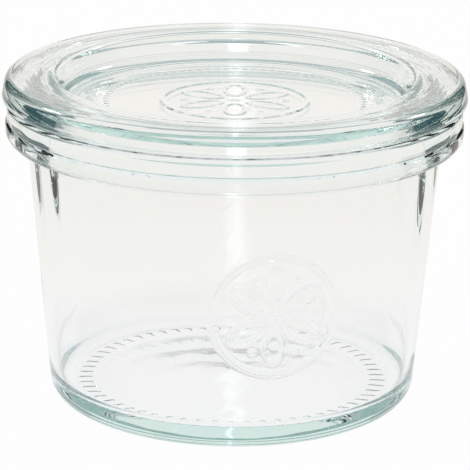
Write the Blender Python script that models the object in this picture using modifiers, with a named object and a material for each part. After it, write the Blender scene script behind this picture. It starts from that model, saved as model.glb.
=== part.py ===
"""A small straight-sided preserving jar of clear glass with its loose glass lid.

Metres, +Z up. The origin is the centre of the ring the jar stands on, and the
front of the jar, with its embossed rosette, faces -Y.
"""

from math import cos, pi, radians, sin

import bmesh
import bpy
from mathutils import Matrix, Vector

MM = 0.001

# Driving sizes
TOTAL_HEIGHT = 50.1 * MM
LID_RADIUS = 35.0 * MM
FLANGE_RADIUS = 34.55 * MM
FLANGE_BOTTOM = 40.4 * MM
FLANGE_TOP = 46.2 * MM
FLANGE_CREASE = 43.3 * MM
FLANGE_LOWER_ROUND = 1.5 * MM
LID_GAP = 0.3 * MM
WALL_TOP_RADIUS = 31.3 * MM
HEEL_RADIUS = 3.1 * MM
FOOT_RADIUS = 24.95 * MM

# Inside of the jar
MOUTH_RADIUS = 28.5 * MM
NECK_HEIGHT = 38.0 * MM
NECK_RADIUS = 28.4 * MM
WAIST_HEIGHT = 20.0 * MM
WAIST_RADIUS = 27.7 * MM
BOWL_RADIUS = 26.5 * MM
BOWL_FILLET = 2.6 * MM
FLOOR_EDGE_HEIGHT = 3.4 * MM
FLOOR_CENTRE_HEIGHT = 3.6 * MM

# Underside of the jar
STANDING_RING_INNER = 20.2 * MM
PUNT_HEIGHT = 0.8 * MM
NOTCHES = 60
NOTCH_INNER = 21.3 * MM
NOTCH_OUTER = 23.6 * MM
NOTCH_WIDTH = 0.9 * MM
NOTCH_DEPTH = 0.2 * MM

# Lid
SEAT_HEIGHT = FLANGE_TOP + LID_GAP
LID_CREST_RADIUS = 34.4 * MM
RECESS_TOP_RADIUS = 27.5 * MM
RECESS_FLOOR_RADIUS = 23.8 * MM
PANEL_TOP = 45.9 * MM
PANEL_BOTTOM = 43.9 * MM
PLUG_BOTTOM = 43.5 * MM
PLUG_RADIUS = 27.5 * MM
PLUG_RING_INNER = 22.6 * MM

# Embossed rosette, on the front wall and on the lid
ROSETTE_RADIUS = 9.1 * MM
ROSETTE_ANGLE = radians(12)
ROSETTE_HEIGHT = 21.4 * MM
RING_WIRE = 0.45 * MM
PETAL_WIRE = 0.36 * MM
PETALS = 6
PETAL_DISTANCE = 4.7 * MM
PETAL_LENGTH = 2.7 * MM
PETAL_WIDTH = 1.3 * MM
HUB_RADIUS = 0.8 * MM
LID_ROSETTE_SCALE = 1.2

TURNED_SEGMENTS = 72
RING_POINTS = 48
PETAL_POINTS = 16


def clear_scene():
    for item in list(bpy.data.objects):
        bpy.data.objects.remove(item)


def new_collection(name):
    collection = bpy.data.collections.new(name)
    bpy.context.scene.collection.children.link(collection)
    return collection


def glass(name, colour):
    material = bpy.data.materials.new(name)
    material.use_nodes = True
    shader = material.node_tree.nodes["Principled BSDF"]
    shader.inputs["Base Color"].default_value = (*colour, 1.0)
    shader.inputs["Roughness"].default_value = 0.02
    shader.inputs["Metallic"].default_value = 0.0
    shader.inputs["IOR"].default_value = 1.52
    shader.inputs["Transmission Weight"].default_value = 1.0
    return material


def arc(centre_radius, centre_height, radius, start, end, steps):
    """Points on an arc in the profile's plane, both ends included, angles in degrees."""
    points = []
    for step in range(steps + 1):
        angle = radians(start + (end - start) * step / steps)
        points.append((centre_radius + radius * cos(angle), centre_height + radius * sin(angle)))
    return points


def wall_radius(height):
    """Radius of the tapered outer wall at a height."""
    bottom_radius = FOOT_RADIUS + HEEL_RADIUS
    share = (height - HEEL_RADIUS) / (FLANGE_BOTTOM - HEEL_RADIUS)
    return bottom_radius + (WALL_TOP_RADIUS - bottom_radius) * share


def jar_profile():
    """The jar's half section, from the middle of the floor, over the rim and down to the punt."""
    lip = 0.8 * MM
    shoulder = 0.7 * MM
    neck_fillet = 0.5 * MM
    crease_depth = 0.3 * MM
    upper_radius = FLANGE_RADIUS - 0.2 * MM
    points = [
        (0.0, FLOOR_CENTRE_HEIGHT),
        (0.6 * BOWL_RADIUS, FLOOR_CENTRE_HEIGHT - 0.1 * MM),
    ]
    points += arc(BOWL_RADIUS - BOWL_FILLET, FLOOR_EDGE_HEIGHT + BOWL_FILLET, BOWL_FILLET, -90, 0, 5)
    points += [(WAIST_RADIUS, WAIST_HEIGHT), (NECK_RADIUS, NECK_HEIGHT)]
    points += arc(MOUTH_RADIUS + lip, FLANGE_TOP - lip, lip, 180, 90, 3)
    points += arc(upper_radius - shoulder, FLANGE_TOP - shoulder, shoulder, 90, 0, 3)
    points += [
        (upper_radius, FLANGE_CREASE + 0.25 * MM),
        (upper_radius - crease_depth, FLANGE_CREASE),
        (FLANGE_RADIUS, FLANGE_CREASE - 0.4 * MM),
    ]
    lower = FLANGE_LOWER_ROUND
    points += arc(FLANGE_RADIUS - lower, FLANGE_BOTTOM + lower, lower, 0, -90, 5)
    points += arc(WALL_TOP_RADIUS + neck_fillet, FLANGE_BOTTOM - neck_fillet, neck_fillet, 90, 175, 2)
    points += arc(FOOT_RADIUS, HEEL_RADIUS, HEEL_RADIUS, 0, -90, 6)
    points += [
        (NOTCH_INNER, 0.0),
        (STANDING_RING_INNER, 0.0),
        (0.5 * STANDING_RING_INNER, 0.52 * PUNT_HEIGHT),
        (0.0, PUNT_HEIGHT),
    ]
    return points


def lid_profile():
    """The lid's half section, from the middle of the sunk panel, over the rim and round the plug."""
    recess_fillet = 2.3 * MM
    crest = 0.8 * MM
    shoulder = 1.4 * MM
    foot = 0.6 * MM
    plug_round = 0.8 * MM
    points = [(0.0, PANEL_TOP)]
    points += arc(RECESS_FLOOR_RADIUS, PANEL_TOP + recess_fillet, recess_fillet, -90, -20, 3)
    points += arc(RECESS_TOP_RADIUS, TOTAL_HEIGHT - crest, crest, 160, 90, 3)
    points += arc(LID_CREST_RADIUS - shoulder, TOTAL_HEIGHT - shoulder, shoulder, 90, 5, 4)
    points += arc(LID_RADIUS - foot, SEAT_HEIGHT + foot, foot, 0, -90, 3)
    points += [
        (PLUG_RADIUS + 0.6 * MM, SEAT_HEIGHT),
        (PLUG_RADIUS, SEAT_HEIGHT - 0.6 * MM),
    ]
    points += arc(PLUG_RADIUS - 0.2 * MM - plug_round, PLUG_BOTTOM + plug_round, plug_round, 0, -90, 3)
    points += [
        (PLUG_RING_INNER, PLUG_BOTTOM),
        (PLUG_RING_INNER - 1.2 * MM, PANEL_BOTTOM),
        (0.0, PANEL_BOTTOM),
    ]
    return points


def turned(name, profile, collection, material):
    """A solid of revolution about Z, from a profile that runs from the axis to the axis."""
    mesh = bpy.data.meshes.new(name)
    vertices = [(radius, 0.0, height) for radius, height in profile]
    edges = [(index, index + 1) for index in range(len(profile) - 1)]
    mesh.from_pydata(vertices, edges, [])
    mesh.materials.append(material)
    solid = bpy.data.objects.new(name, mesh)
    collection.objects.link(solid)
    screw = solid.modifiers.new("turn", "SCREW")
    screw.axis = "Z"
    screw.angle = 2 * pi
    screw.steps = TURNED_SEGMENTS
    screw.render_steps = TURNED_SEGMENTS
    screw.use_merge_vertices = True
    screw.merge_threshold = 0.00001
    screw.use_smooth_shade = True
    return solid


def on_wall(across, up):
    """A point of the front wall, from distances across and up from the rosette's middle."""
    height = ROSETTE_HEIGHT + up
    radius = wall_radius(height)
    angle = ROSETTE_ANGLE + across / radius
    return Vector((radius * sin(angle), -radius * cos(angle), height))


def on_lid(across, up):
    """A point of the lid's panel, from distances across and up from its middle."""
    return Vector((across, up, PANEL_TOP))


def closed_wire(name, points, thickness, collection):
    """A closed round wire through the points, as a mesh."""
    curve = bpy.data.curves.new(name, "CURVE")
    curve.dimensions = "3D"
    curve.bevel_depth = thickness
    curve.bevel_resolution = 1
    spline = curve.splines.new("POLY")
    spline.points.add(len(points) - 1)
    for point, place in zip(spline.points, points):
        point.co = (*place, 1.0)
    spline.use_cyclic_u = True
    wire = bpy.data.objects.new(name + "_curve", curve)
    collection.objects.link(wire)
    bpy.context.view_layer.update()
    evaluated = wire.evaluated_get(bpy.context.evaluated_depsgraph_get())
    mesh = bpy.data.meshes.new_from_object(evaluated)
    solid = bpy.data.objects.new(name, mesh)
    solid.matrix_world = wire.matrix_world
    collection.objects.link(solid)
    bpy.data.objects.remove(wire)
    return solid


def oval(centre_across, centre_up, half_length, half_width, turn, count):
    """Points of an oval in the rosette's flat pattern, its long way turned from straight up."""
    points = []
    for index in range(count):
        angle = 2 * pi * index / count
        along = half_length * cos(angle)
        side = half_width * sin(angle)
        across = centre_across + along * sin(turn) + side * cos(turn)
        up = centre_up + along * cos(turn) - side * sin(turn)
        points.append((across, up))
    return points


def rosette(name, place, scale, collection):
    """A ring round six oval petals and a hub, half sunk into the surface that place gives."""
    ring = oval(0.0, 0.0, ROSETTE_RADIUS * scale, ROSETTE_RADIUS * scale, 0.0, RING_POINTS)
    closed_wire(name + "_ring", [place(*point) for point in ring], RING_WIRE, collection)
    for index in range(PETALS):
        turn = 2 * pi * index / PETALS
        distance = PETAL_DISTANCE * scale
        petal = oval(
            distance * sin(turn),
            distance * cos(turn),
            PETAL_LENGTH * scale,
            PETAL_WIDTH * scale,
            turn,
            PETAL_POINTS,
        )
        wire_name = f"{name}_petal_{index + 1}"
        closed_wire(wire_name, [place(*point) for point in petal], PETAL_WIRE, collection)
    mesh = bpy.data.meshes.new(name + "_hub")
    shape = bmesh.new()
    bmesh.ops.create_uvsphere(
        shape,
        u_segments=12,
        v_segments=6,
        radius=HUB_RADIUS,
        matrix=Matrix.Translation(place(0.0, 0.0)) @ Matrix.Diagonal((1.0, 1.0, 0.6, 1.0)),
    )
    shape.to_mesh(mesh)
    shape.free()
    hub = bpy.data.objects.new(name + "_hub", mesh)
    collection.objects.link(hub)


def foot_notches(collection):
    """Sixty short blocks round the foot, which cut the grip notches of the standing ring."""
    mesh = bpy.data.meshes.new("foot_notch_cutter")
    shape = bmesh.new()
    length = NOTCH_OUTER - NOTCH_INNER
    middle = (NOTCH_OUTER + NOTCH_INNER) / 2
    for index in range(NOTCHES):
        turn = Matrix.Rotation(2 * pi * index / NOTCHES, 4, "Z")
        place = Matrix.Translation((middle, 0.0, 0.0))
        size = Matrix.Diagonal((length, NOTCH_WIDTH, 2 * NOTCH_DEPTH, 1.0))
        bmesh.ops.create_cube(shape, size=1.0, matrix=turn @ place @ size)
    shape.to_mesh(mesh)
    shape.free()
    cutter = bpy.data.objects.new("foot_notch_cutter", mesh)
    cutter.display_type = "WIRE"
    cutter.hide_render = True
    collection.objects.link(cutter)
    return cutter


def cut(solid, cutter):
    boolean = solid.modifiers.new("cut", "BOOLEAN")
    boolean.operation = "DIFFERENCE"
    boolean.object = cutter


def join(solid, pieces):
    """Joins a collection of overlapping pieces to the solid for good, then removes them."""
    boolean = solid.modifiers.new("join", "BOOLEAN")
    boolean.operation = "UNION"
    boolean.operand_type = "COLLECTION"
    boolean.collection = pieces
    bpy.context.view_layer.update()
    evaluated = solid.evaluated_get(bpy.context.evaluated_depsgraph_get())
    mesh = bpy.data.meshes.new_from_object(evaluated)
    solid.modifiers.clear()
    solid.data = mesh
    for piece in list(pieces.objects):
        bpy.data.objects.remove(piece)
    bpy.data.collections.remove(pieces)


def build():
    clear_scene()
    preserving_jar = new_collection("preserving_jar")
    cutters = new_collection("cutters")
    jar_glass = glass("jar_glass", (0.90, 0.96, 0.94))
    lid_glass = glass("lid_glass", (0.88, 0.95, 0.94))

    jar = turned("jar", jar_profile(), preserving_jar, jar_glass)
    cut(jar, foot_notches(cutters))
    wall_rosette = new_collection("wall_rosette")
    rosette("wall_rosette", on_wall, 1.0, wall_rosette)
    join(jar, wall_rosette)

    lid = turned("lid", lid_profile(), preserving_jar, lid_glass)
    lid_rosette = new_collection("lid_rosette")
    rosette("lid_rosette", on_lid, LID_ROSETTE_SCALE, lid_rosette)
    join(lid, lid_rosette)


build()
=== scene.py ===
"""Looks of the preserving jar: clear pressed glass in a bright studio."""

from math import atan2, ceil, cos, hypot, pi, radians, sin, tan

import bpy
import numpy as np
from mathutils import Matrix, Vector


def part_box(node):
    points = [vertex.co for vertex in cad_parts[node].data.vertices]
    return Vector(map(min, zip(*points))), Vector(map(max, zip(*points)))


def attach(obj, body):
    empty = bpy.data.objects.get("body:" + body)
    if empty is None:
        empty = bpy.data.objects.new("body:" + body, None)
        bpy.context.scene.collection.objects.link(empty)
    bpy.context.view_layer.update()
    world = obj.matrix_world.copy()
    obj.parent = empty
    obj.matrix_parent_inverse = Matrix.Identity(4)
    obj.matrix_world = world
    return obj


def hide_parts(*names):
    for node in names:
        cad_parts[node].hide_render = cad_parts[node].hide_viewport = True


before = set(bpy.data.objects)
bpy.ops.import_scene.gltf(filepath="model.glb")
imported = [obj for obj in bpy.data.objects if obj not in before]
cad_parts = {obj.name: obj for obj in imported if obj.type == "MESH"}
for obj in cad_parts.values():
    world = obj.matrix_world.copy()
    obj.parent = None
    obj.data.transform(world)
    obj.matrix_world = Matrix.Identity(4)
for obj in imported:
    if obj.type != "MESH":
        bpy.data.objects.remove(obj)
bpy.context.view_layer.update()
MM = 0.001

# Sizes read from the solids
JAR_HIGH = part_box("jar")[1]
LID_LOW, LID_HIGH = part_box("lid")
FLANGE_RADIUS = JAR_HIGH[0]
RIM_HEIGHT = JAR_HIGH[2]
LID_RADIUS = LID_HIGH[0]
LID_TOP = LID_HIGH[2]
PLUG_BOTTOM = LID_LOW[2]
SEAT_HEIGHT = RIM_HEIGHT + 0.3 * MM

# Jar
FLANGE_BOTTOM = RIM_HEIGHT - 5.8 * MM
FLANGE_CREASE = RIM_HEIGHT - 2.9 * MM
WALL_TOP_RADIUS = 31.3 * MM
WALL_FOOT_RADIUS = 27.78 * MM
HEEL_ROUNDING = 3.1 * MM
MOUTH_RADIUS = 28.5 * MM
BOWL_RADIUS = 26.5 * MM
BOWL_ROUNDING = 1.6 * MM
FLOOR_CENTRE_HEIGHT = 3.6 * MM
FLOOR_EDGE_HEIGHT = 3.4 * MM
STANDING_RING_INNER = 20.2 * MM
PUNT_HEIGHT = 0.8 * MM

# Lid
PANEL_TOP = 45.9 * MM
PANEL_BOTTOM = 43.9 * MM
PLUG_RADIUS = 27.5 * MM
RECESS_RADIUS = 25.42 * MM
CREST_INNER = 26.95 * MM
SHOULDER_RADIUS = 34.4 * MM
RING_DEPTH = 0.008 * MM
RING_SPACING = 1.15 * MM
FINE_RING_SPACING = 0.75 * MM
BEADS = 84
BEAD_CIRCLE = 19.5 * MM

# Foot notches
NOTCHES = 60
NOTCH_INNER = 21.3 * MM
NOTCH_OUTER = 23.6 * MM
NOTCH_WIDTH = 0.9 * MM
NOTCH_DEPTH = 0.17 * MM

# Rosettes
ROSETTE_RADIUS = 9.1 * MM
ROSETTE_ANGLE = radians(12)
ROSETTE_HEIGHT = 21.4 * MM
WALL_ROSETTE_RISE = 0.28 * MM
LID_ROSETTE_RISE = 0.11 * MM
LID_ROSETTE_SCALE = 1.2
PETALS = 6
PETAL_DISTANCE = 4.7 * MM
PETAL_LENGTH = 2.7 * MM
PETAL_WIDTH = 1.3 * MM
DOT_DISTANCE = 6.3 * MM

# Glass
TINT = (0.17, 0.71, 0.64)
JAR_TINT_DENSITY = 7.5
LID_TINT_DENSITY = 8.5
REFRACTION = 1.52
# Painted shadow line on the jar's rim under the lid's edge: its inner and outer radius, and its dark colour
SEAM_SHADOW_RADII = (33.5 * MM, 33.95 * MM)
SEAM_SHADOW_COLOUR = (0.02, 0.02, 0.025)

# Studio
FLOOR_REACH = 4.0
SHEET_SIDE = 0.35
SHEET_FRONT = 0.25
STRIP_SIDE = 5 * MM
SIDE_AZIMUTH = 120
SIDE_DISTANCE = 0.13
BACK_DISTANCE = 0.6
BACK_HEIGHT = 0.6
SMALL_LIGHT_SIZE = 0.12
SMALL_LIGHT_STRENGTH = 14
SHEET_NEAR = (0.93, 0.92, 0.93)
SHEET_FAR = (0.92, 0.89, 0.85)
ROOM = (0.9, 1.0, 1.0)
ROOM_STRENGTH = 0.5
ROOM_FLOOR = (0.6, 0.68, 0.69)
DARK = (0.04, 0.09, 0.10)
WHITE = (1.0, 1.0, 1.0)
WARM_WHITE = (1.0, 0.96, 0.93)

# Fineness
SEGMENTS = 300
STRAIGHT_STEP = 1.2 * MM
WALL_STEP = 0.6 * MM
FOOT_STEP = 0.3 * MM
RING_STEP = 0.12 * MM
TURN_STEP = radians(9)


def rounded_outline(corners):
    """Points of an outline through corners, each (radius, height, rounding, longest step)."""
    points = [Vector(corners[0][:2])]
    for before, corner, after in zip(corners, corners[1:], corners[2:]):
        here = Vector(corner[:2])
        if corner[2] == 0:
            points += straight(points[-1], here, corner[3]) + [here]
            continue
        inward = (Vector(before[:2]) - here).normalized()
        outward = (Vector(after[:2]) - here).normalized()
        turn = pi - inward.angle(outward)
        cut = corner[2] * tan(turn / 2)
        start = here + inward * cut
        end = here + outward * cut
        centre = here + (inward + outward).normalized() * (corner[2] / cos(turn / 2))
        steps = max(2, ceil(turn / TURN_STEP))
        arc = []
        for step in range(steps + 1):
            share = step / steps
            first = (start - centre) * sin((1 - share) * turn)
            last = (end - centre) * sin(share * turn)
            arc.append(centre + (first + last) / sin(turn))
        points += straight(points[-1], arc[0], corner[3]) + arc
    points += straight(points[-1], Vector(corners[-1][:2]), corners[-1][3])
    points.append(Vector(corners[-1][:2]))
    return points


def straight(start, end, longest):
    """Points between two ends, without the ends, no further apart than the longest step."""
    steps = max(1, ceil((end - start).length / longest))
    return [start.lerp(end, step / steps) for step in range(1, steps)]


def turned(name, outline):
    """A closed turned piece: a point is extruded along the outline, then spun round the axis."""
    bpy.ops.object.select_all(action="DESELECT")
    bpy.ops.mesh.primitive_plane_add(size=MM, location=(0, 0, 0))
    piece = bpy.context.object
    piece.name = name
    piece.data.name = name
    bpy.ops.object.mode_set(mode="EDIT")
    bpy.ops.mesh.select_mode(type="VERT")
    bpy.ops.mesh.select_all(action="SELECT")
    bpy.ops.mesh.merge(type="CENTER")
    bpy.ops.transform.translate(value=(outline[0].x, 0, outline[0].y))
    for start, end in zip(outline, outline[1:]):
        step = end - start
        bpy.ops.mesh.extrude_vertices_move(TRANSFORM_OT_translate={"value": (step.x, 0, step.y)})
    bpy.ops.mesh.select_all(action="SELECT")
    bpy.ops.mesh.spin(steps=SEGMENTS, angle=2 * pi, center=(0, 0, 0), axis=(0, 0, 1))
    bpy.ops.mesh.select_all(action="SELECT")
    bpy.ops.mesh.remove_doubles(threshold=0.001 * MM)
    bpy.ops.mesh.normals_make_consistent(inside=False)
    bpy.ops.object.mode_set(mode="OBJECT")
    return piece


def refine(piece, wanted, cuts):
    """Subdivides the faces whose centre is wanted, where the relief needs finer points."""
    bpy.ops.object.mode_set(mode="EDIT")
    bpy.ops.mesh.select_all(action="DESELECT")
    bpy.ops.mesh.select_mode(type="FACE")
    bpy.ops.object.mode_set(mode="OBJECT")
    for face in piece.data.polygons:
        face.select = wanted(face.center)
    bpy.ops.object.mode_set(mode="EDIT")
    bpy.ops.mesh.subdivide(number_cuts=cuts)
    bpy.ops.object.mode_set(mode="OBJECT")


def move_points(piece, moved):
    """Gives every point of a piece the place that a function of all the places returns."""
    mesh = piece.data
    flat = np.empty(3 * len(mesh.vertices), dtype=np.float32)
    mesh.vertices.foreach_get("co", flat)
    places = flat.reshape(-1, 3).astype(np.float64)
    mesh.vertices.foreach_set("co", moved(places).astype(np.float32).ravel())
    mesh.update()


def true_round(places):
    """Moves the points that lie on a chord between two segments out to the circle."""
    segment = 2 * pi / SEGMENTS
    angle = np.arctan2(places[:, 1], places[:, 0])
    offset = np.mod(angle, segment) - segment / 2
    places[:, :2] *= (np.cos(offset) / cos(segment / 2))[:, None]
    return places


def ridge(distance, half_width, height):
    """Height of a rounded ridge at a distance from its middle line."""
    share = np.clip(distance / half_width, 0, 1)
    return height * np.cos(share * pi / 2) ** 2


def rosette(across, up, scale, rise):
    """Height of the embossed ring, its six outlined petals and the dots between them."""
    reach = np.hypot(across, up)
    relief = ridge(np.abs(reach - ROSETTE_RADIUS * scale), 0.65 * MM, rise)
    relief = np.maximum(relief, ridge(reach, 1.0 * MM, rise))
    long_half = PETAL_LENGTH * scale
    short_half = PETAL_WIDTH * scale
    for index in range(PETALS):
        turn = 2 * pi * index / PETALS
        along = across * sin(turn) + up * cos(turn) - PETAL_DISTANCE * scale
        side = across * cos(turn) - up * sin(turn)
        level = np.hypot(along / long_half, side / short_half) + 1e-9
        slope = np.hypot(along / long_half**2, side / short_half**2) / level + 1e-9
        outline = np.abs(level - 1) / slope
        relief = np.maximum(relief, ridge(outline, 0.5 * MM, 0.85 * rise))
        between = turn + pi / PETALS
        dot_reach = DOT_DISTANCE * scale
        dot = np.hypot(across - dot_reach * sin(between), up - dot_reach * cos(between))
        relief = np.maximum(relief, ridge(dot, 0.75 * MM, 0.85 * rise))
    return relief


def jar_outline():
    """Half section of the jar from the middle of its floor, over the rim and down to the punt."""
    upper_radius = FLANGE_RADIUS - 0.2 * MM
    return rounded_outline(
        [
            (0.0, FLOOR_CENTRE_HEIGHT, 0, STRAIGHT_STEP),
            (BOWL_RADIUS, FLOOR_EDGE_HEIGHT, BOWL_ROUNDING, STRAIGHT_STEP),
            (27.7 * MM, 20.0 * MM, 60 * MM, STRAIGHT_STEP),
            (28.4 * MM, 38.0 * MM, 40 * MM, STRAIGHT_STEP),
            (MOUTH_RADIUS, RIM_HEIGHT, 0.9 * MM, STRAIGHT_STEP),
            (upper_radius, RIM_HEIGHT, 0.75 * MM, STRAIGHT_STEP),
            (upper_radius, FLANGE_CREASE + 0.3 * MM, 0.15 * MM, STRAIGHT_STEP),
            (upper_radius - 0.3 * MM, FLANGE_CREASE, 0.1 * MM, STRAIGHT_STEP),
            (FLANGE_RADIUS, FLANGE_CREASE - 0.35 * MM, 0.2 * MM, STRAIGHT_STEP),
            (FLANGE_RADIUS, FLANGE_BOTTOM, 1.5 * MM, STRAIGHT_STEP),
            (WALL_TOP_RADIUS, FLANGE_BOTTOM, 0.5 * MM, STRAIGHT_STEP),
            (WALL_FOOT_RADIUS, 0.0, HEEL_ROUNDING, WALL_STEP),
            (STANDING_RING_INNER, 0.0, 1.0 * MM, FOOT_STEP),
            (0.0, PUNT_HEIGHT, 0, STRAIGHT_STEP),
        ]
    )


def lid_outline():
    """Half section of the lid from the middle of its sunk panel, over the rim and round the plug."""
    points = rounded_outline(
        [
            (0.0, PANEL_TOP, 0, STRAIGHT_STEP),
            (12.5 * MM, PANEL_TOP, 0, 0.2 * MM),
            (RECESS_RADIUS, PANEL_TOP, 2.3 * MM, 0.4 * MM),
            (CREST_INNER, LID_TOP, 0.8 * MM, RING_STEP),
            (SHOULDER_RADIUS, LID_TOP, 1.4 * MM, RING_STEP),
            (LID_RADIUS, SEAT_HEIGHT + 0.9 * MM, 0.1 * MM, STRAIGHT_STEP),
            (LID_RADIUS, SEAT_HEIGHT, 0.6 * MM, STRAIGHT_STEP),
            (PLUG_RADIUS + 0.6 * MM, SEAT_HEIGHT, 0.25 * MM, STRAIGHT_STEP),
            (PLUG_RADIUS, SEAT_HEIGHT - 0.6 * MM, 0.3 * MM, STRAIGHT_STEP),
            (PLUG_RADIUS - 0.2 * MM, PLUG_BOTTOM, 0.8 * MM, STRAIGHT_STEP),
            (22.6 * MM, PLUG_BOTTOM, 0.5 * MM, STRAIGHT_STEP),
            (21.4 * MM, PANEL_BOTTOM, 0.6 * MM, STRAIGHT_STEP),
            (0.0, PANEL_BOTTOM, 0, STRAIGHT_STEP),
        ]
    )
    return pressed_rings(points)


def pressed_rings(points):
    """Gives the lid's raised edge the shallow rings that the mould leaves in it."""
    waved = [points[0]]
    length = 0.0
    for before, here, after in zip(points, points[1:], points[2:]):
        length += (here - before).length
        along = (after - before).normalized()
        inside = here.y > PANEL_TOP + 0.05 * MM and here.y < LID_TOP - 0.02 * MM and here.x < 28 * MM
        crest = here.y > LID_TOP - 0.02 * MM
        depth = RING_DEPTH if inside or crest else 0.0
        wave = sin(2 * pi * length / RING_SPACING) + 0.6 * sin(2 * pi * length / FINE_RING_SPACING + 1)
        sink = depth * (wave - 1.6)
        waved.append(here + Vector((-along.y, along.x)) * sink)
    waved.append(points[-1])
    return waved


def on_rosette(centre):
    """Whether a face of the jar lies under the wall's rosette."""
    across = atan2(centre.x, -centre.y) - ROSETTE_ANGLE
    radius = hypot(centre.x, centre.y)
    near = abs(across) * radius < 10.3 * MM and abs(centre.z - ROSETTE_HEIGHT) < 10.3 * MM
    return near and radius > 28.6 * MM


def on_foot(centre):
    """Whether a face of the jar lies where the notches are."""
    return centre.z < 1.2 * MM and 21.0 * MM < hypot(centre.x, centre.y) < 24.0 * MM


def jar_relief(places):
    """The jar's rosette, its foot notches, and the waves of its pressed inner face."""
    places = true_round(places)
    radius = np.hypot(places[:, 0], places[:, 1])
    height = places[:, 2]
    angle = np.arctan2(places[:, 0], -places[:, 1])
    wall = WALL_FOOT_RADIUS + (WALL_TOP_RADIUS - WALL_FOOT_RADIUS) * height / FLANGE_BOTTOM
    outer = (radius > wall - 0.4 * MM) & (height > 3 * MM) & (height < FLANGE_BOTTOM - MM)
    across = (angle - ROSETTE_ANGLE) * radius
    swell = np.where(outer, rosette(across, height - ROSETTE_HEIGHT, 1.0, WALL_ROSETTE_RISE), 0.0)

    inner = (radius < wall - 0.9 * MM) & (height > 6 * MM) & (radius > 20 * MM)
    neck = np.clip((height - 26 * MM) / (12 * MM), 0, 1) * np.clip((41 * MM - height) / (2 * MM), 0, 1)
    side = np.clip((np.abs(np.sin(angle)) - 0.55) / 0.3, 0, 1)
    calm = 0.004 + side * (0.02 + 0.1 * neck)
    wave = np.sin(5 * angle + 1.3 + 90 * height) + np.sin(9 * angle + 4.1 - 160 * height)
    streaks = np.clip((height - 13 * MM) / (9 * MM), 0, 1)
    wave += 1.2 * np.sin(27 * angle + 0.4 + 80 * height) * streaks
    swell += np.where(inner, calm * wave * MM, 0.0)
    share = (radius + swell) / np.maximum(radius, 1e-9)
    bowl = (radius < wall - 0.9 * MM) & (height > 2 * MM) & (height < 7 * MM)
    punt = (radius < STANDING_RING_INNER - 0.5 * MM) & (height < PUNT_HEIGHT + 0.1 * MM)
    east = places[:, 0] / MM
    north = places[:, 1] / MM
    uneven = np.sin(0.75 * east + 0.31 * north) + np.sin(0.52 * north - 0.43 * east + 1.9)
    uneven += 0.7 * np.sin(1.35 * east - 0.9 * north + 0.7)
    settled = np.clip((7 * MM - height) / (2 * MM), 0, 1)

    pitch = 2 * pi / NOTCHES
    off = np.abs(np.mod(angle + pitch / 2, pitch) - pitch / 2) * radius
    middle = (NOTCH_INNER + NOTCH_OUTER) / 2
    end = np.clip(((NOTCH_OUTER - NOTCH_INNER) / 2 - np.abs(radius - middle)) / (0.5 * MM), 0, 1)
    under = height < 1.2 * MM
    notch = np.where(under, ridge(off, NOTCH_WIDTH / 2, NOTCH_DEPTH) * end, 0.0)

    places[:, :2] *= share[:, None]
    places[:, 2] += notch
    places[:, 2] += np.where(bowl, 0.008 * MM * settled * uneven, 0.0)
    places[:, 2] += np.where(punt, 0.007 * MM * np.sin(0.9 * east + 1.1) * np.sin(0.8 * north), 0.0)
    return places


def lid_relief(places):
    """The lid's rosette and its ring of fine beads."""
    places = true_round(places)
    top = places[:, 2] > PANEL_TOP - 0.1 * MM
    raised = rosette(places[:, 0], places[:, 1], LID_ROSETTE_SCALE, LID_ROSETTE_RISE)
    places[:, 2] += np.where(top, raised, 0.0)
    radius = np.hypot(places[:, 0], places[:, 1])
    angle = np.arctan2(places[:, 0], -places[:, 1])
    pitch = 2 * pi / BEADS
    off = np.abs(np.mod(angle + pitch / 2, pitch) - pitch / 2) * radius
    bead = ridge(np.hypot(off, radius - BEAD_CIRCLE), 0.5 * MM, 0.13 * MM)
    places[:, 2] += np.where(top, bead, 0.0)
    return places


def on_beads(centre):
    """Whether a face of the lid lies under the ring of beads."""
    return centre.z > PANEL_TOP - 0.1 * MM and abs(hypot(centre.x, centre.y) - BEAD_CIRCLE) < 0.7 * MM


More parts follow.
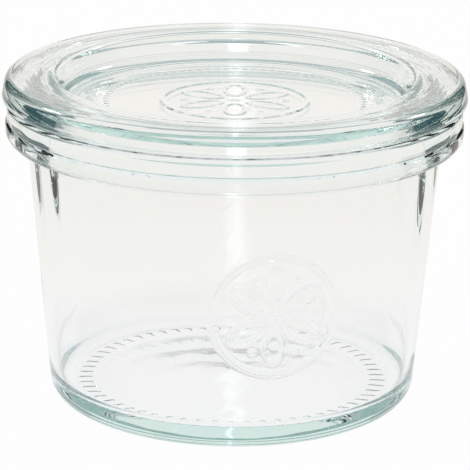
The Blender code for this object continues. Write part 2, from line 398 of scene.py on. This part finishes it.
def painted_seam_shadow(nodes, links, where, low, high):
    """Darkness of the fine painted shadow line where the lid meets the rim, between two radii."""
    flat = nodes.new("ShaderNodeVectorMath")
    flat.operation = "MULTIPLY"
    flat.inputs[1].default_value = (1, 1, 0)
    reach = nodes.new("ShaderNodeVectorMath")
    reach.operation = "LENGTH"
    links.new(where.outputs["Object"], flat.inputs[0])
    links.new(flat.outputs["Vector"], reach.inputs[0])
    edges = []
    for start, end in ((low, low + 0.1 * MM), (high + 0.1 * MM, high)):
        edge = nodes.new("ShaderNodeMapRange")
        edge.inputs["From Min"].default_value = start
        edge.inputs["From Max"].default_value = end
        links.new(reach.outputs["Value"], edge.inputs["Value"])
        edges.append(edge)
    split = nodes.new("ShaderNodeSeparateXYZ")
    links.new(where.outputs["Object"], split.inputs["Vector"])
    level = nodes.new("ShaderNodeMapRange")
    level.inputs["From Min"].default_value = RIM_HEIGHT - 0.5 * MM
    level.inputs["From Max"].default_value = RIM_HEIGHT - 0.4 * MM
    links.new(split.outputs["Z"], level.inputs["Value"])
    ring = nodes.new("ShaderNodeMath")
    ring.operation = "MULTIPLY"
    links.new(edges[0].outputs["Result"], ring.inputs[0])
    links.new(edges[1].outputs["Result"], ring.inputs[1])
    shade = nodes.new("ShaderNodeMath")
    shade.operation = "MULTIPLY"
    links.new(ring.outputs["Value"], shade.inputs[0])
    links.new(level.outputs["Result"], shade.inputs[1])
    # Noise breaks the painted shadow into a patchy line
    patchy = nodes.new("ShaderNodeTexNoise")
    patchy.inputs["Scale"].default_value = 600
    patchy.inputs["Detail"].default_value = 3.0
    links.new(where.outputs["Object"], patchy.inputs["Vector"])
    break_up = nodes.new("ShaderNodeMapRange")
    break_up.inputs["From Min"].default_value = 0.42
    break_up.inputs["From Max"].default_value = 0.56
    break_up.inputs["To Min"].default_value = 0.6
    links.new(patchy.outputs["Fac"], break_up.inputs["Value"])
    broken_shadow = nodes.new("ShaderNodeMath")
    broken_shadow.operation = "MULTIPLY"
    links.new(shade.outputs["Value"], broken_shadow.inputs[0])
    links.new(break_up.outputs["Result"], broken_shadow.inputs[1])
    return broken_shadow.outputs["Value"]


def clear_glass(name, density, shadow_seam=None):
    """Clear pressed glass, faintly wavy, with a blue-green tint that grows with its thickness; given two seam
    radii, it also paints a dark shadow line into its colour between them.
    """
    material = bpy.data.materials.new(name)
    material.use_nodes = True
    nodes = material.node_tree.nodes
    links = material.node_tree.links
    shader = nodes["Principled BSDF"]
    shader.inputs["Base Color"].default_value = (1, 1, 1, 1)
    shader.inputs["Roughness"].default_value = 0.0
    shader.inputs["IOR"].default_value = REFRACTION
    shader.inputs["Transmission Weight"].default_value = 1.0
    where = nodes.new("ShaderNodeTexCoord")
    ripple = nodes.new("ShaderNodeTexNoise")
    ripple.inputs["Scale"].default_value = 160
    ripple.inputs["Detail"].default_value = 1.0
    bump = nodes.new("ShaderNodeBump")
    bump.inputs["Strength"].default_value = 0.1
    bump.inputs["Distance"].default_value = 0.03 * MM
    links.new(where.outputs["Object"], ripple.inputs["Vector"])
    links.new(ripple.outputs["Fac"], bump.inputs["Height"])
    links.new(bump.outputs["Normal"], shader.inputs["Normal"])
    # Painted shadow: a dark base colour at the seam, so little light passes through the glass there
    if shadow_seam:
        colour = nodes.new("ShaderNodeMix")
        colour.data_type = "RGBA"
        colour.inputs["A"].default_value = (1, 1, 1, 1)
        colour.inputs["B"].default_value = (*SEAM_SHADOW_COLOUR, 1)
        links.new(painted_seam_shadow(nodes, links, where, *shadow_seam), colour.inputs["Factor"])
        links.new(colour.outputs["Result"], shader.inputs["Base Color"])
    tint = nodes.new("ShaderNodeVolumeAbsorption")
    tint.inputs["Color"].default_value = (*TINT, 1)
    tint.inputs["Density"].default_value = density
    links.new(tint.outputs["Volume"], nodes["Material Output"].inputs["Volume"])
    return material


def dress(piece, node, material):
    """Smooth shading, the material, and the solid that the piece stands for."""
    piece.data.materials.append(material)
    for face in piece.data.polygons:
        face.use_smooth = True
    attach(piece, "root")
    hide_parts(node)


def make_jar():
    """The jar, with finer faces under its rosette and its foot notches."""
    piece = turned("jar_glass", jar_outline())
    refine(piece, on_rosette, 2)
    refine(piece, on_foot, 1)
    move_points(piece, jar_relief)
    # The jar's glass carries the painted shadow line at the seam under the lid
    dress(piece, "jar", clear_glass("clear_jar_glass", JAR_TINT_DENSITY, SEAM_SHADOW_RADII))


def make_lid():
    """The lid, with finer faces under its ring of beads."""
    piece = turned("lid_glass", lid_outline())
    refine(piece, on_beads, 1)
    move_points(piece, lid_relief)
    dress(piece, "lid", clear_glass("clear_lid_glass", LID_TINT_DENSITY))


def glow(name, colour, strength):
    """A plain glowing material for the studio cards."""
    material = bpy.data.materials.new(name)
    material.use_nodes = True
    nodes = material.node_tree.nodes
    nodes.remove(nodes["Principled BSDF"])
    emission = nodes.new("ShaderNodeEmission")
    emission.inputs["Color"].default_value = (*colour, 1)
    emission.inputs["Strength"].default_value = strength
    material.node_tree.links.new(emission.outputs["Emission"], nodes["Material Output"].inputs["Surface"])
    return material


def make_floor():
    """A pale floor: the camera sees it white, and the glass picks it up a little greyer."""
    bpy.ops.object.select_all(action="DESELECT")
    bpy.ops.mesh.primitive_plane_add(size=2 * FLOOR_REACH, location=(0, 0, -0.02 * MM))
    floor = bpy.context.object
    floor.name = "floor"
    material = bpy.data.materials.new("pale_floor")
    material.use_nodes = True
    nodes = material.node_tree.nodes
    links = material.node_tree.links
    paint = nodes["Principled BSDF"]
    paint.inputs["Base Color"].default_value = (0.02, 0.02, 0.02, 1)
    paint.inputs["Roughness"].default_value = 1.0
    paint.inputs["Specular IOR Level"].default_value = 0.0
    paint.inputs["Emission Color"].default_value = (1, 1, 1, 1)
    paint.inputs["Emission Strength"].default_value = 0.98
    greyer = nodes.new("ShaderNodeEmission")
    place = nodes.new("ShaderNodeTexCoord")
    split = nodes.new("ShaderNodeSeparateXYZ")
    depth = nodes.new("ShaderNodeMapRange")
    depth.inputs["From Min"].default_value = 0.0
    depth.inputs["From Max"].default_value = 0.12
    tone = nodes.new("ShaderNodeMix")
    tone.data_type = "RGBA"
    tone.inputs["A"].default_value = (*SHEET_NEAR, 1)
    tone.inputs["B"].default_value = (*SHEET_FAR, 1)
    links.new(place.outputs["Object"], split.inputs["Vector"])
    links.new(split.outputs["Y"], depth.inputs["Value"])
    links.new(depth.outputs["Result"], tone.inputs["Factor"])
    links.new(tone.outputs["Result"], greyer.inputs["Color"])
    ray = nodes.new("ShaderNodeLightPath")
    mix = nodes.new("ShaderNodeMixShader")
    links.new(ray.outputs["Is Camera Ray"], mix.inputs["Fac"])
    links.new(greyer.outputs["Emission"], mix.inputs[1])
    links.new(paint.outputs["BSDF"], mix.inputs[2])
    links.new(mix.outputs["Shader"], nodes["Material Output"].inputs["Surface"])
    floor.data.materials.append(material)


def card(name, middle, rotation, width, height, colour, strength=1.0):
    """A flat glowing studio card that only the glass sees."""
    bpy.ops.object.select_all(action="DESELECT")
    bpy.ops.mesh.primitive_plane_add(size=1, location=middle, rotation=rotation)
    panel = bpy.context.object
    panel.name = name
    panel.scale = (width, height, 1)
    panel.data.materials.append(glow(name, colour, strength))
    panel.visible_camera = False
    panel.visible_diffuse = False
    panel.visible_shadow = False


def standing_card(name, azimuth, distance, width, low, high, colour, strength=1.0):
    """An upright card that faces the jar, between two heights; azimuth 0 is in front."""
    turn = radians(azimuth)
    middle = (distance * sin(turn), -distance * cos(turn), (low + high) / 2)
    card(name, middle, (pi / 2, 0, turn), width, high - low, colour, strength)


def floor_card(name, low, high, lift, colour, strength=1.0):
    """A card that lies just above the floor, between two corners."""
    middle = ((low[0] + high[0]) / 2, (low[1] + high[1]) / 2, lift)
    card(name, middle, (0, 0, 0), high[0] - low[0], high[1] - low[1], colour, strength)


def make_camera():
    """The camera, at the viewing angle of the photograph."""
    distance = 430 * MM
    elevation = radians(17.353)
    roll = radians(0.746)
    target = Vector((0.272 * MM, 0, 24.583 * MM))
    back = Vector((0, -cos(elevation), sin(elevation)))
    data = bpy.data.cameras.new("camera")
    data.lens = 215.42
    data.sensor_width = 36
    data.clip_start = 0.01
    camera = bpy.data.objects.new("camera", data)
    bpy.context.scene.collection.objects.link(camera)
    level = back.to_track_quat("Z", "Y").to_matrix().to_4x4()
    camera.matrix_world = Matrix.Translation(target + back * distance) @ level @ Matrix.Rotation(roll, 4, "Z")
    bpy.context.scene.camera = camera


def make_light():
    """A white sheet in a dimmer room, a white back card, dark side cards and soft bright strips."""
    world = bpy.data.worlds.new("studio")
    bpy.context.scene.world = world
    world.use_nodes = True
    background = world.node_tree.nodes["Background"]
    background.inputs["Color"].default_value = (*ROOM, 1)
    background.inputs["Strength"].default_value = ROOM_STRENGTH

    lift = 0.3 * MM
    floor_card("room_left", (-FLOOR_REACH, -FLOOR_REACH), (-SHEET_SIDE, FLOOR_REACH), lift, ROOM_FLOOR)
    floor_card("room_right", (SHEET_SIDE, -FLOOR_REACH), (FLOOR_REACH, FLOOR_REACH), lift, ROOM_FLOOR)
    floor_card("room_front", (-SHEET_SIDE, -FLOOR_REACH), (SHEET_SIDE, -SHEET_FRONT), lift, ROOM_FLOOR)
    standing_card("left_card", -SIDE_AZIMUTH, SIDE_DISTANCE, 0.12, 0.03, 0.12, DARK)
    standing_card("right_card", SIDE_AZIMUTH, SIDE_DISTANCE, 0.12, 0.03, 0.12, DARK)

    standing_card("back_card", 180, BACK_DISTANCE, 0.9, 0, BACK_HEIGHT, WARM_WHITE, 0.95)
    for step, (width, strength) in enumerate(((17 * MM, 1.25), (11 * MM, 1.6), (6 * MM, 2.1))):
        low = (STRIP_SIDE - width / 2, -SHEET_FRONT)
        high = (STRIP_SIDE + width / 2, -0.085)
        floor_card(f"front_strip_{step}", low, high, (0.5 + 0.2 * step) * MM, WHITE, strength)
    for step, (width, strength) in enumerate(((12 * MM, 1.08), (7 * MM, 1.18), (4 * MM, 1.35))):
        standing_card(f"back_strip_{step}", 179.9, 0.59 - 0.01 * step, width, 0, BACK_HEIGHT, WHITE, strength)
    for side in (-1, 1):
        place = Vector((side * 0.56, 0.31, 0.48))
        facing = (place - Vector((0, 0, RIM_HEIGHT))).to_track_quat("Z", "Y").to_euler()
        name = f"small_light_{side + 1}"
        card(name, place, facing, SMALL_LIGHT_SIZE, SMALL_LIGHT_SIZE, WHITE, SMALL_LIGHT_STRENGTH)


def main():
    scene = bpy.context.scene
    scene.view_settings.view_transform = "Standard"
    scene.cycles.max_bounces = 32
    scene.cycles.transmission_bounces = 32
    scene.cycles.glossy_bounces = 16
    make_jar()
    make_lid()
    make_floor()
    make_light()
    make_camera()
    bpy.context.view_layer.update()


main()
